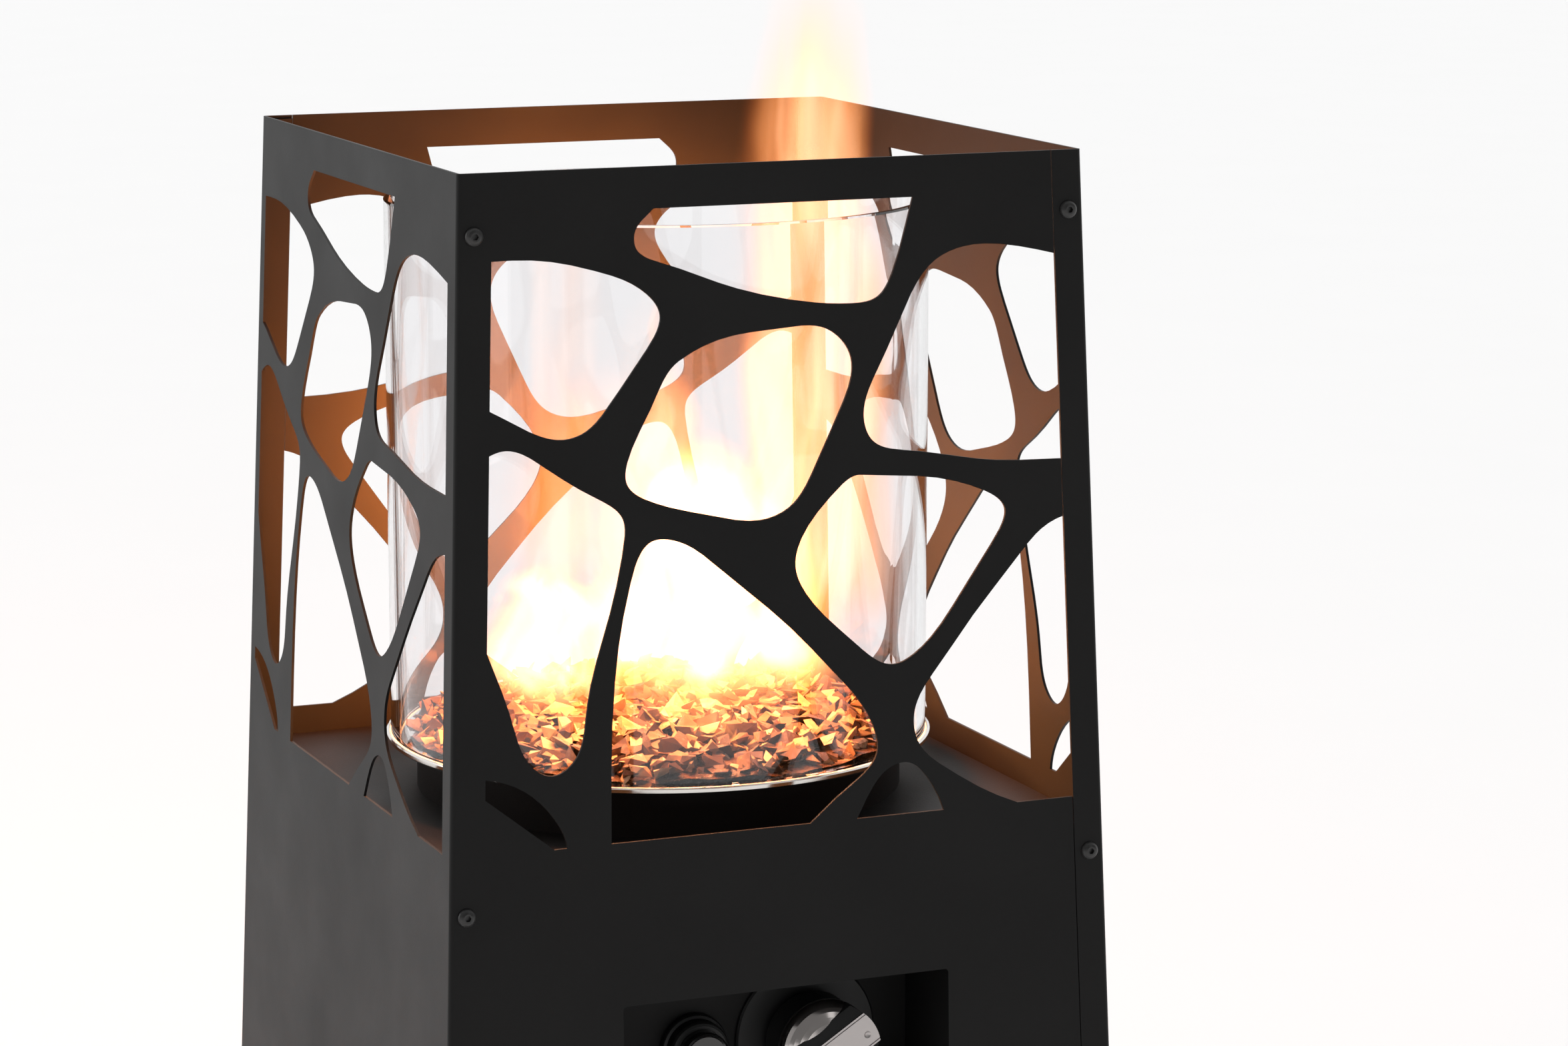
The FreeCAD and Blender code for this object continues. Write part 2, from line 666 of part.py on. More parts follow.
def gas_inlet_fitting():
    """Bulkhead hose tail with its lock nut above the plate."""
    x, y, z = INLET
    tail = merge([turned([(0, 0), (4.6, 0), (5.2, 3), (4.4, 7), (5.2, 8), (4.4, 12), (4.6, 18),
                          (0, 18)], INLET),
                  hexagon(17.0, 8.0, (x, y, z + 17)),
                  rod(7.0, (x, y, z + 24), (0, 0, 1), 18)])
    nut = hexagon(19.0, 6.0, (x, y, CEILING_TOP))
    return group([tail, nut.cut(rod(7.03, (x, y, CEILING_TOP - 1), (0, 0, 1), 10))])


def supply_tube():
    x, y, z = INLET
    level = CONTROL_Z - 38.0
    return bent_tube([(x, y, z + 42), (x, y, level), (33, -100, level), (33, -100, CONTROL_Z - 24)],
                     4.0, 7.0)


def burner_tube():
    level = CONTROL_Z
    return bent_tube([(57, -100, level), (76, -100, level), (76, 0, level), (0, 0, level), (0, 0, 690)],
                     4.0, 10.0)


def pilot_tube():
    level = CONTROL_Z + 12.0
    return bent_tube([(24, -81, level), (24, -62, level), (24, -62, 730), (10, 104, 730), (10, 104, 812)],
                     2.5, 10.0)


def gas_injector():
    return merge([hexagon(13.0, 8.0, (0, 0, 690)),
                  turned([(0, 698), (4.5, 698), (4.5, 706), (2.0, 709), (0, 709)])])


def mixing_tube():
    """Venturi tube with a foot that carries the injector and four air windows."""
    tube = turned([(4.7, 702), (14, 702), (14, 790), (10.5, 790), (10.5, 705), (4.7, 705)])
    windows = [box(8, 20, -4, 4, 716, 732), box(-20, -8, -4, 4, 716, 732),
               box(-4, 4, 8, 20, 716, 732), box(-4, 4, -20, -8, 716, 732)]
    flange = pipe(24.0 + 6.0, 14.0, (0, 0, DECK_TOP - PLATE - 2.5), (0, 0, 1), 2.5)
    return merge([tube.cut(windows), flange])


def air_shutter():
    sleeve = pipe(16.2, 14.05, (0, 0, 711), (0, 0, 1), 26)
    windows = [box(8, 20, -4, 4, 716, 732), box(-20, -8, -4, 4, 716, 732),
               box(-4, 4, 8, 20, 716, 732), box(-4, 4, -20, -8, 716, 732)]
    lever = box(14.2, 30, 5.0, 7.5, 721, 727)
    return merge([sleeve.cut(windows), lever])


# ---------------------------------------------------------------- burner head

def drum_screw_shapes(radius):
    shapes = []
    for k in range(4):
        angle = math.radians(45 + 90 * k)
        x = 128.0 * math.cos(angle)
        y = 128.0 * math.sin(angle)
        shapes.append(rod(radius, (x, y, DECK_TOP - 8), (0, 0, 1), 10))
    return shapes


def burner_drum():
    drum = turned([(DRUM_RADIUS, DECK_TOP), (DRUM_RADIUS, DRUM_TOP), (DRUM_RADIUS - 2, DRUM_TOP),
                   (DRUM_RADIUS - 2, DECK_TOP + 2), (119, DECK_TOP + 2), (119, DECK_TOP)])
    return drum.cut(drum_screw_shapes(2.2))


def drum_screws():
    screws = []
    for k in range(4):
        angle = math.radians(45 + 90 * k)
        place = (128.0 * math.cos(angle), 128.0 * math.sin(angle), DECK_TOP + 2)
        screws.append(turned([(0, -10), (2.2, -10), (2.2, 0), (4.2, 0), (3.6, 1.6), (2, 2.4),
                              (0, 2.4)], place))
    return group(screws)


def burner_tray():
    tray = turned([(14.2, 788.5), (131.5, 788.5), (131.5, DRUM_TOP), (DRUM_RADIUS, DRUM_TOP),
                   (DRUM_RADIUS, 810), (130, 810), (130, 790), (14.2, 790)])
    holes = []
    for radius, count in ((40, 12), (60, 18), (95, 24)):
        for k in range(count):
            angle = math.radians(360.0 * k / count)
            holes.append(rod(2.5, (radius * math.cos(angle), radius * math.sin(angle), 785),
                             (0, 0, 1), 8))
    holes.append(box(-24, 24, 97, 111, 785, 795))
    return tray.cut(holes)


def ring_burner():
    loop = Part.makeTorus(78.0, 8.0, V(0, 0, 801))
    arms = rod(7.0, (-78, 0, 801), (1, 0, 0), 156)
    riser = pipe(13.0, 10.5, (0, 0, 790), (0, 0, 1), 3)
    cap = rod(13.0, (0, 0, 793), (0, 0, 1), 15)
    return merge([loop, arms, cap, riser])


def chip_bed():
    bed = turned([(0, 811.5), (127, 811.5), (127, RING_TOP), (143, RING_TOP), (141.5, 818),
                  (128, 822), (90, 826), (40, 828.5), (0, 829)])
    return bed.cut(box(-27, 27, 92, 117, 800, 840))


def glass_ring():
    return turned([(128, 810), (RING_RADIUS - 1, 810), (RING_RADIUS, 811), (RING_RADIUS, 812.8),
                   (RING_RADIUS - 0.7, RING_TOP), (152.5, RING_TOP), (152.5, 812), (145.5, 812),
                   (145.5, RING_TOP), (128, RING_TOP)])


def glass_gasket():
    return turned([(145.8, 812), (152.2, 812), (152.2, 813), (145.8, 813)])


def glass_cylinder():
    inner = GLASS_RADIUS - GLASS_WALL
    return turned([(inner + 0.6, GLASS_BOTTOM), (GLASS_RADIUS - 0.6, GLASS_BOTTOM),
                   (GLASS_RADIUS, GLASS_BOTTOM + 0.6), (GLASS_RADIUS, GLASS_TOP - 1),
                   (GLASS_RADIUS - 1, GLASS_TOP), (inner + 1, GLASS_TOP), (inner, GLASS_TOP - 1),
                   (inner, GLASS_BOTTOM + 0.6)])


def pilot_hood():
    plate = box(-23, 23, 98, 110, 800, 801.5).cut([rod(2.5, (10, 104, 790), (0, 0, 1), 20),
                                                   rod(3.0, (-6, 104, 790), (0, 0, 1), 20),
                                                   rod(2.5, (-17, 104, 790), (0, 0, 1), 20)])
    legs = [box(-23, -21.5, 98, 110, 790, 800), box(21.5, 23, 98, 110, 790, 800)]
    hood = turned([(2.5, 812), (6.5, 812), (6.5, 828), (4.5, 832), (0, 832), (0, 830.5),
                   (3.5, 830.5), (5, 827), (5, 813.5), (2.5, 813.5)], (10, 104, 0))
    hood = hood.cut(box(-4, 10, 101, 107, 816, 824))
    sleeve = pipe(4.5, 2.5, (10, 104, 801.5), (0, 0, 1), 10.5)
    return merge([merge([plate] + legs), merge([hood, sleeve])])


def thermocouple():
    tip = turned([(0, 770), (3.0, 770), (3.0, 812), (2.2, 814), (2.2, 829), (1.0, 831), (0, 831)])
    return tip.translated(V(-6, 104, 0))


def spark_electrode():
    body = turned([(0, 764), (1.2, 764), (1.2, 770), (2.5, 772), (2.5, 818), (1.0, 819),
                   (1.0, 827), (0, 828)])
    return body.translated(V(-17, 104, 0))


def ignition_lead():
    return bent_tube([(IGNITER_X, BARREL_END + 8, CONTROL_Z), (IGNITER_X, -50, CONTROL_Z),
                      (IGNITER_X, -50, 745), (-17, 104, 745), (-17, 104, 764)], 1.6, 6.0)


def tilt_switch():
    body = box(-95, -65, -60, -30, CEILING_TOP, CEILING_TOP + 24)
    body = body.makeFillet(2.0, [e for e in body.Edges if e.BoundBox.ZMax - e.BoundBox.ZMin > 5])
    return merge([body, rod(7.0, (-80, -45, CEILING_TOP + 23), (0, 0, 1), 8)])


# ---------------------------------------------------------------- service door

def door_panel():
    skin = leaning_slab(-DOOR_HALF, DOOR_HALF, DOOR_BOTTOM, DOOR_TOP, 0.0, SHEET)
    rim = leaning_slab(-DOOR_HALF, DOOR_HALF, DOOR_BOTTOM, DOOR_TOP, SHEET, DOOR_RETURN)
    inner = DOOR_HALF - SHEET
    rim = rim.cut(leaning_slab(-inner, inner, DOOR_BOTTOM + SHEET, DOOR_TOP - SHEET, 0.0,
                               DOOR_RETURN + 5.0))
    panel = merge([skin, rim])
    louvres = []
    for row in range(5):
        for x in (-60.0, 0.0, 60.0):
            slot = box(-20, 20, -6, 6, -2.5, 2.5)
            slot = slot.makeFillet(2.4, [e for e in slot.Edges
                                         if abs(e.Vertexes[0].Y - e.Vertexes[-1].Y) > 1.0])
            louvres.append(on_back(slot, x, 110.0 + 16.0 * row))
    louvres.append(on_back(rod(9.2, (0, -20, 0), (0, 1, 0), 30), LATCH_X, LATCH_Z))
    return panel.cut(louvres)


def hinge_leaf(sign, barrels, reach):
    """Leaf plate with its knuckles; the hinge pin is the local Z axis at HINGE_OUT from the face."""
    pieces = [box(min(sign * 4.9, sign * reach), max(sign * 4.9, sign * reach), 0, 2, -30, 30)]
    for low, high in barrels:
        pieces.append(box(min(0, sign * 6), max(0, sign * 6), 0.6, 2, low, high))
        pieces.append(rod(4.0, (0, HINGE_OUT, low), (0, 0, 1), high - low))
    return merge(pieces)


def door_hinge_leaves():
    leaf = hinge_leaf(-1, ((-9.8, 9.8),), 28).cut(rod(2.55, (0, HINGE_OUT, -40), (0, 0, 1), 80))
    return group([on_back(leaf, HINGE_X, z) for z in HINGE_LEVELS])


def frame_hinge_leaves():
    leaf = hinge_leaf(1, ((-30, -10.1), (10.1, 30)), 26).cut(rod(2.5, (0, HINGE_OUT, -40), (0, 0, 1), 80))
    return group([on_back(leaf, HINGE_X, z) for z in HINGE_LEVELS])


def hinge_pins():
    pin = turned([(0, -31), (2.5, -31), (2.5, 30), (3.6, 30), (3.6, 31.5), (2.6, 32.5), (0, 32.5)])
    pin = pin.translated(V(0, HINGE_OUT, 0))
    return group([on_back(pin, HINGE_X, z) for z in HINGE_LEVELS])


def latch_barrel():
    barrel = turned([(3.05, -13), (9.0, -13), (9.0, 0), (13, 0), (13, 2), (11.5, 3.4),
                     (3.05, 3.4)], axis=(0, 1, 0))
    return on_back(barrel, LATCH_X, LATCH_Z)


def latch_handle():
    spindle = rod(3.0, (0, -19, 0), (0, 1, 0), 24)
    wing = box(-4.5, 4.5, 3.8, 15, -17, 17)
    wing = wing.makeFillet(3.5, [e for e in wing.Edges
                                 if abs(e.Vertexes[0].Y - e.Vertexes[-1].Y) > 1.0])
    collar = rod(8.5, (0, 3.8, 0), (0, 1, 0), 3.2)
    return on_back(merge([spindle, wing, collar]), LATCH_X, LATCH_Z)


def latch_cam():
    arm = box(-7, 7, -16.4, -13.9, -34, 7)
    arm = arm.makeFillet(5.0, [e for e in arm.Edges
                               if abs(e.Vertexes[0].Y - e.Vertexes[-1].Y) > 1.0])
    nut = hexagon(10.0, 2.4, (0, -18.8, 0), (0, 1, 0))
    bore = rod(3.0, (0, -22, 0), (0, 1, 0), 12)
    return on_back(group([arm.cut(bore), nut.cut(bore)]), LATCH_X, LATCH_Z)


def latch_keeper():
    x = LATCH_X
    pieces = [box(-167 - x, -153 - x, -13.4, -11.4, -15, 15),
              box(-169 - x, -167 - x, -13.4, -SHEET, -15, 15),
              box(-169 - x, -153 - x, -SHEET - 2, -SHEET, -15, 15)]
    return on_back(merge(pieces), LATCH_X, LATCH_Z)


# ---------------------------------------------------------------- build

def build_nodes():
    cutters = all_cutters()
    front_left, back_right = shell_sheets(cutters)
    return {
        "shell_front_left": front_left,
        "shell_back_right": back_right,
        "corner_posts": corner_posts(),
        "shell_screws": group(on_screw_places(shell_screw())),
        "shell_nuts": shell_nuts(),
        "burner_deck": burner_deck(),
        "compartment_ceiling": compartment_ceiling(),
        "base_plate": base_plate(),
        "front_feet": front_feet(),
        "bottle_ring": bottle_ring(),
        "wheel_brackets": wheel_brackets(),
        "stub_axles": stub_axles(),
        "left_wheel_hub": wheel_hub(-1),
        "left_wheel_tyre": wheel_tyre(-1),
        "right_wheel_hub": wheel_hub(1),
        "right_wheel_tyre": wheel_tyre(1),
        "control_tray": control_tray(),
        "tray_studs": tray_studs(),
        "valve_bracket": valve_bracket(),
        "valve_body": valve_body(),
        "knob_bezel": knob_bezel(),
        "push_collar": push_collar(),
        "knob_spring": knob_spring(),
        "valve_stem": valve_stem(),
        "knob_skirt": knob_skirt(),
        "knob_fin": knob_fin(),
        "knob_grip": knob_grip(),
        "igniter_barrel": igniter_barrel(),
        "igniter_nut": igniter_nut(),
        "igniter_bezel": igniter_bezel(),
        "igniter_cap": igniter_cap(),
        "igniter_spring": igniter_spring(),
        "gas_inlet_fitting": gas_inlet_fitting(),
        "supply_tube": supply_tube(),
        "burner_tube": burner_tube(),
        "pilot_tube": pilot_tube(),
        "gas_injector": gas_injector(),
        "mixing_tube": mixing_tube(),
        "air_shutter": air_shutter(),
        "burner_drum": burner_drum(),
        "drum_screws": drum_screws(),
        "burner_tray": burner_tray(),
        "ring_burner": ring_burner(),
        "chip_bed": chip_bed(),
        "glass_ring": glass_ring(),
        "glass_gasket": glass_gasket(),
        "glass_cylinder": glass_cylinder(),
        "pilot_hood": pilot_hood(),
        "thermocouple": thermocouple(),
        "spark_electrode": spark_electrode(),
        "ignition_lead": ignition_lead(),
        "tilt_switch": tilt_switch(),
        "door_panel": door_panel(),
        "door_hinge_leaves": door_hinge_leaves(),
        "frame_hinge_leaves": frame_hinge_leaves(),
        "hinge_pins": hinge_pins(),
        "latch_barrel": latch_barrel(),
        "latch_handle": latch_handle(),
        "latch_cam": latch_cam(),
        "latch_keeper": latch_keeper(),
    }


def main():
    os.makedirs("parts", exist_ok=True)
    for name, shape in build_nodes().items():
        shape.exportStep("parts/" + name + ".step")


main()
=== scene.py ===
import json
import math
import random

import bmesh
import bpy
from mathutils import Matrix, Vector


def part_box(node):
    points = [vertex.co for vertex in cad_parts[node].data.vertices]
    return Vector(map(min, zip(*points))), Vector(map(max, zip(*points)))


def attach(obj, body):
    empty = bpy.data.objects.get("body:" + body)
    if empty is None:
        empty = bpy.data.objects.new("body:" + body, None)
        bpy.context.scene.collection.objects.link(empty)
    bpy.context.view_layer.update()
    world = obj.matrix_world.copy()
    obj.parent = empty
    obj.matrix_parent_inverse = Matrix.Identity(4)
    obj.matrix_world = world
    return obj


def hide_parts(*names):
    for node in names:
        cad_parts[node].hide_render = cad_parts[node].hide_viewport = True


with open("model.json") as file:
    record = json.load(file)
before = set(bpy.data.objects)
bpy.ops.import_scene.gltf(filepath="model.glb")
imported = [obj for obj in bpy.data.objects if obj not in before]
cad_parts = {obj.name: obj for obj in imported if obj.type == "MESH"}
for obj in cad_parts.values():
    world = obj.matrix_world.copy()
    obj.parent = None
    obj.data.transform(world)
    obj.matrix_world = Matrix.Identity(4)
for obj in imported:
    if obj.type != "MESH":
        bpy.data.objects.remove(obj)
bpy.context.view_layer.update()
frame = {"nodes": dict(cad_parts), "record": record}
nodes = frame["nodes"]
scene = bpy.context.scene
scene.view_settings.view_transform = "Standard"
scene.view_settings.look = "None"


# ---------------------------------------------------------------- camera, floor and lights

CAMERA_PLACE = (-0.8749, -2.2603, 1.3779)
CAMERA_LOOK = (0.3817, 0.9062, -0.1820)
CAMERA_ROLL = math.radians(0.1)
CAMERA_RIGHT = (0.9216, -0.388)
FLOOR_REACH = 120.0


def add_camera():
    data = bpy.data.cameras.new("camera")
    data.lens = 100.4
    data.sensor_width = 36.0
    data.clip_end = 400.0
    cam = bpy.data.objects.new("camera", data)
    scene.collection.objects.link(cam)
    look = Vector(CAMERA_LOOK).normalized()
    turn = look.to_track_quat("-Z", "Y").to_matrix() @ Matrix.Rotation(CAMERA_ROLL, 3, "Z")
    cam.matrix_world = Matrix.Translation(CAMERA_PLACE) @ turn.to_4x4()
    scene.camera = cam


def add_floor():
    mesh = bpy.data.meshes.new("floor")
    r = FLOOR_REACH
    mesh.from_pydata([(-r, -r, 0), (r, -r, 0), (r, r, 0), (-r, r, 0)], [], [(0, 1, 2, 3)])
    floor = bpy.data.objects.new("floor", mesh)
    scene.collection.objects.link(floor)
    mat = bpy.data.materials.new("studio_floor")
    mat.use_nodes = True
    nt = mat.node_tree
    bsdf = nt.nodes["Principled BSDF"]
    bsdf.inputs["Roughness"].default_value = 0.8
    bsdf.inputs["Specular IOR Level"].default_value = 0.2
    noise = nt.nodes.new("ShaderNodeTexNoise")
    noise.inputs["Scale"].default_value = 3.0
    ramp = nt.nodes.new("ShaderNodeValToRGB")
    ramp.color_ramp.elements[0].color = (0.828, 0.828, 0.828, 1)
    ramp.color_ramp.elements[1].color = (0.840, 0.840, 0.840, 1)
    coords = nt.nodes.new("ShaderNodeTexCoord")
    nt.links.new(coords.outputs["Object"], noise.inputs["Vector"])
    nt.links.new(noise.outputs["Fac"], ramp.inputs["Fac"])
    nt.links.new(ramp.outputs["Color"], bsdf.inputs["Base Color"])
    mesh.materials.append(mat)


def add_world():
    """White studio that is bright behind and at the sides, and dimmer in front."""
    world = bpy.data.worlds.new("studio")
    scene.world = world
    world.use_nodes = True
    nt = world.node_tree
    back = nt.nodes["Background"]
    coords = nt.nodes.new("ShaderNodeTexCoord")
    split = nt.nodes.new("ShaderNodeSeparateXYZ")
    spread = nt.nodes.new("ShaderNodeMapRange")
    spread.interpolation_type = "SMOOTHSTEP"
    spread.inputs["From Min"].default_value = -0.75
    spread.inputs["From Max"].default_value = 0.30
    spread.inputs["To Min"].default_value = 0.22
    spread.inputs["To Max"].default_value = 1.0
    nt.links.new(coords.outputs["Generated"], split.inputs["Vector"])
    nt.links.new(split.outputs["Y"], spread.inputs["Value"])
    nt.links.new(spread.outputs["Result"], back.inputs["Strength"])
    back.inputs["Color"].default_value = (1.0, 1.0, 1.0, 1.0)


def add_light(name, kind, place, power, colour=(1, 1, 1), aim=None, **extra):
    data = bpy.data.lights.new(name, kind)
    data.energy = power
    data.color = colour
    for key, value in extra.items():
        setattr(data, key, value)
    light = bpy.data.objects.new(name, data)
    scene.collection.objects.link(light)
    light.location = place
    if aim is not None:
        light.rotation_euler = (Vector(aim) - Vector(place)).to_track_quat("-Z", "Y").to_euler()
    light.visible_camera = False
    return light


FIRE = (1.0, 0.27, 0.055)
BED = (1.0, 0.46, 0.16)
FIRE_LAMPS = ((0.05, -0.02, 0.92, 9.0, FIRE), (-0.06, -0.02, 1.05, 9.0, FIRE),
              (-0.05, 0.0, 0.91, 8.0, FIRE), (0.035, -0.035, 0.885, 4.0, BED),
              (-0.045, -0.045, 0.880, 6.0, BED))


def add_lights():
    add_light("overhead", "SUN", (-1.0, 2.0, 4.0), 1.5, aim=(0, 0, 0), angle=math.radians(50))
    add_light("left_softbox", "AREA", (-3.0, 0.6, 1.6), 14.0, aim=(0, 0, 0.9), shape="RECTANGLE",
              size=2.0, size_y=2.4)
    add_light("front_strip", "AREA", (1.2, -2.4, 2.2), 2.0, aim=(0, 0, 0.8), shape="RECTANGLE",
              size=0.5, size_y=1.6)
    for k, (x, y, z, power, colour) in enumerate(FIRE_LAMPS):
        lamp = add_light("fire_lamp_%d" % k, "POINT", (x, y, z), power, colour)
        lamp.data.shadow_soft_size = 0.03
        lamp.visible_transmission = False
        lamp.visible_glossy = False
    glow = add_light("back_glow", "AREA", (0.02, 0.03, 0.95), 24.0, FIRE, aim=(0.02, 1.0, 0.95),
                     shape="RECTANGLE", size=0.12, size_y=0.12, spread=math.radians(105))
    glow.visible_transmission = False
    glow.visible_glossy = False


# ---------------------------------------------------------------- materials

def ramp_between(nt, factor, low, high, lo=0.3, hi=0.7):
    ramp = nt.nodes.new("ShaderNodeValToRGB")
    ramp.color_ramp.elements[0].position = lo
    ramp.color_ramp.elements[1].position = hi
    ramp.color_ramp.elements[0].color = (*low, 1)
    ramp.color_ramp.elements[1].color = (*high, 1)
    nt.links.new(factor, ramp.inputs["Fac"])
    return ramp.outputs["Color"]


def noise_at(nt, vector, scale, detail=3.0, rough=0.55, distortion=0.0):
    noise = nt.nodes.new("ShaderNodeTexNoise")
    noise.inputs["Scale"].default_value = scale
    noise.inputs["Detail"].default_value = detail
    noise.inputs["Roughness"].default_value = rough
    noise.inputs["Distortion"].default_value = distortion
    nt.links.new(vector, noise.inputs["Vector"])
    return noise.outputs["Fac"]


def stretched(nt, stretch):
    coords = nt.nodes.new("ShaderNodeTexCoord")
    mapping = nt.nodes.new("ShaderNodeMapping")
    mapping.inputs["Scale"].default_value = stretch
    nt.links.new(coords.outputs["Object"], mapping.inputs["Vector"])
    return mapping.outputs["Vector"]


def surface(name, low, high, rough, metallic=0.0, specular=0.5, grain=900.0, bump=0.12,
            depth=0.0003, stretch=(1, 1, 1), blotch=14.0, coat=0.0, coat_rough=0.1, sheen=0.0):
    """Principled material with blotchy colour, uneven gloss and a fine surface grain."""
    mat = bpy.data.materials.new(name)
    mat.use_nodes = True
    nt = mat.node_tree
    bsdf = nt.nodes["Principled BSDF"]
    bsdf.inputs["Metallic"].default_value = metallic
    bsdf.inputs["Specular IOR Level"].default_value = specular
    bsdf.inputs["Coat Weight"].default_value = coat
    bsdf.inputs["Coat Roughness"].default_value = coat_rough
    bsdf.inputs["Sheen Weight"].default_value = sheen
    vector = stretched(nt, stretch)
    blotches = noise_at(nt, vector, blotch, 4.0)
    nt.links.new(ramp_between(nt, blotches, low, high), bsdf.inputs["Base Color"])
    fine = noise_at(nt, vector, grain, 2.0)
    mixed = nt.nodes.new("ShaderNodeMath")
    mixed.operation = "MULTIPLY_ADD"
    mixed.inputs[1].default_value = 0.25
    nt.links.new(fine, mixed.inputs[0])
    nt.links.new(blotches, mixed.inputs[2])
    spread = nt.nodes.new("ShaderNodeMapRange")
    spread.inputs["From Min"].default_value = 0.35
    spread.inputs["From Max"].default_value = 0.9
    spread.inputs["To Min"].default_value = rough[0]
    spread.inputs["To Max"].default_value = rough[1]
    nt.links.new(mixed.outputs["Value"], spread.inputs["Value"])
    nt.links.new(spread.outputs["Result"], bsdf.inputs["Roughness"])
    if bump > 0.0:
        node = nt.nodes.new("ShaderNodeBump")
        node.inputs["Strength"].default_value = bump
        node.inputs["Distance"].default_value = depth
        nt.links.new(fine, node.inputs["Height"])
        nt.links.new(node.outputs["Normal"], bsdf.inputs["Normal"])
    return mat


def clear_glass():
    """Borosilicate glass that lets the lamps inside it light the sheets outside."""
    mat = bpy.data.materials.new("clear_glass")
    mat.use_nodes = True
    nt = mat.node_tree
    bsdf = nt.nodes["Principled BSDF"]
    bsdf.inputs["Base Color"].default_value = (0.948, 0.944, 0.952, 1)
    bsdf.inputs["Transmission Weight"].default_value = 1.0
    bsdf.inputs["IOR"].default_value = 1.47
    vector = stretched(nt, (1, 1, 0.25))
    smear = noise_at(nt, vector, 9.0, 5.0, 0.6, 0.6)
    spread = nt.nodes.new("ShaderNodeMapRange")
    spread.inputs["From Min"].default_value = 0.55
    spread.inputs["From Max"].default_value = 0.9
    spread.inputs["To Min"].default_value = 0.0
    spread.inputs["To Max"].default_value = 0.06
    nt.links.new(smear, spread.inputs["Value"])
    nt.links.new(spread.outputs["Result"], bsdf.inputs["Roughness"])
    path = nt.nodes.new("ShaderNodeLightPath")
    clear = nt.nodes.new("ShaderNodeBsdfTransparent")
    clear.inputs["Color"].default_value = (0.95, 0.95, 0.96, 1)
    mix = nt.nodes.new("ShaderNodeMixShader")
    nt.links.new(path.outputs["Is Shadow Ray"], mix.inputs["Fac"])
    nt.links.new(bsdf.outputs["BSDF"], mix.inputs[1])
    nt.links.new(clear.outputs["BSDF"], mix.inputs[2])
    nt.links.new(mix.outputs["Shader"], nt.nodes["Material Output"].inputs["Surface"])
    return mat


def build_materials():
    m = {}
    m["powder_coat_black"] = surface("powder_coat_black", (0.0095, 0.0093, 0.0092), (0.0125, 0.0123, 0.0121),
                                     (0.40, 0.52), specular=0.13, grain=1500.0, bump=0.18, depth=0.0002)
    m["heat_proof_coating"] = surface("heat_proof_coating", (0.0075, 0.0065, 0.0062),
                                      (0.0110, 0.0095, 0.0090), (0.45, 0.62), specular=0.2,
                                      grain=1200.0, bump=0.25, blotch=8.0)
    m["black_oxide_steel"] = surface("black_oxide_steel", (0.012, 0.012, 0.012), (0.022, 0.021, 0.02),
                                     (0.30, 0.42), grain=1800.0, bump=0.06)
    m["zinc_steel"] = surface("zinc_steel", (0.50, 0.50, 0.48), (0.62, 0.62, 0.60), (0.28, 0.42), 1.0,
                              grain=600.0, bump=0.05)
    m["rubber_feet"] = surface("rubber_feet", (0.012, 0.012, 0.012), (0.02, 0.02, 0.02), (0.7, 0.85),
                               bump=0.3)
    m["wheel_rubber"] = surface("wheel_rubber", (0.014, 0.014, 0.014), (0.022, 0.022, 0.022), (0.7, 0.85),
                                bump=0.3)
    m["wheel_plastic"] = surface("wheel_plastic", (0.03, 0.03, 0.032), (0.04, 0.04, 0.043), (0.42, 0.55),
                                 bump=0.2)
    m["valve_aluminium"] = surface("valve_aluminium", (0.5, 0.5, 0.5), (0.62, 0.62, 0.62), (0.4, 0.55), 1.0,
                                   bump=0.3)
    m["brass"] = surface("brass", (0.62, 0.44, 0.16), (0.75, 0.56, 0.24), (0.25, 0.4), 1.0, bump=0.05)
    m["gas_tube_metal"] = surface("gas_tube_metal", (0.55, 0.55, 0.56), (0.68, 0.68, 0.69), (0.3, 0.42), 1.0,
                                  bump=0.05)
    m["stainless_burner"] = surface("stainless_burner", (0.30, 0.26, 0.23), (0.48, 0.44, 0.41), (0.3, 0.5),
                                    1.0, bump=0.08)
    m["spring_steel"] = surface("spring_steel", (0.4, 0.4, 0.4), (0.5, 0.5, 0.5), (0.3, 0.42), 1.0)
    m["black_plastic"] = surface("black_plastic", (0.008, 0.008, 0.008), (0.012, 0.012, 0.012), (0.42, 0.55),
                                 grain=1400.0, bump=0.12)
    m["button_gloss_black"] = surface("button_gloss_black", (0.006, 0.006, 0.006), (0.009, 0.009, 0.009),
                                      (0.16, 0.24), grain=400.0, bump=0.02, coat=0.6)
    m["knob_chrome"] = surface("knob_chrome", (0.50, 0.46, 0.44), (0.57, 0.53, 0.51), (0.09, 0.16), 1.0,
                               grain=300.0, bump=0.02)
    m["knob_satin"] = surface("knob_satin", (0.44, 0.41, 0.40), (0.52, 0.49, 0.48), (0.36, 0.46), 1.0,
                              grain=2500.0, bump=0.06, stretch=(0.2, 1, 1))
    m["polished_ring"] = surface("polished_ring", (0.70, 0.67, 0.63), (0.78, 0.75, 0.71), (0.08, 0.16), 1.0,
                                 grain=500.0, bump=0.02)
    m["gasket_fibre"] = surface("gasket_fibre", (0.6, 0.58, 0.54), (0.75, 0.72, 0.68), (0.85, 0.95),
                                grain=2500.0, bump=0.6)
    m["electrode_ceramic"] = surface("electrode_ceramic", (0.75, 0.73, 0.69), (0.85, 0.83, 0.8), (0.2, 0.35),
                                     bump=0.05)
    m["lead_rubber"] = surface("lead_rubber", (0.02, 0.02, 0.02), (0.03, 0.03, 0.03), (0.55, 0.7), bump=0.2)
    m["clear_glass"] = clear_glass()
    return m


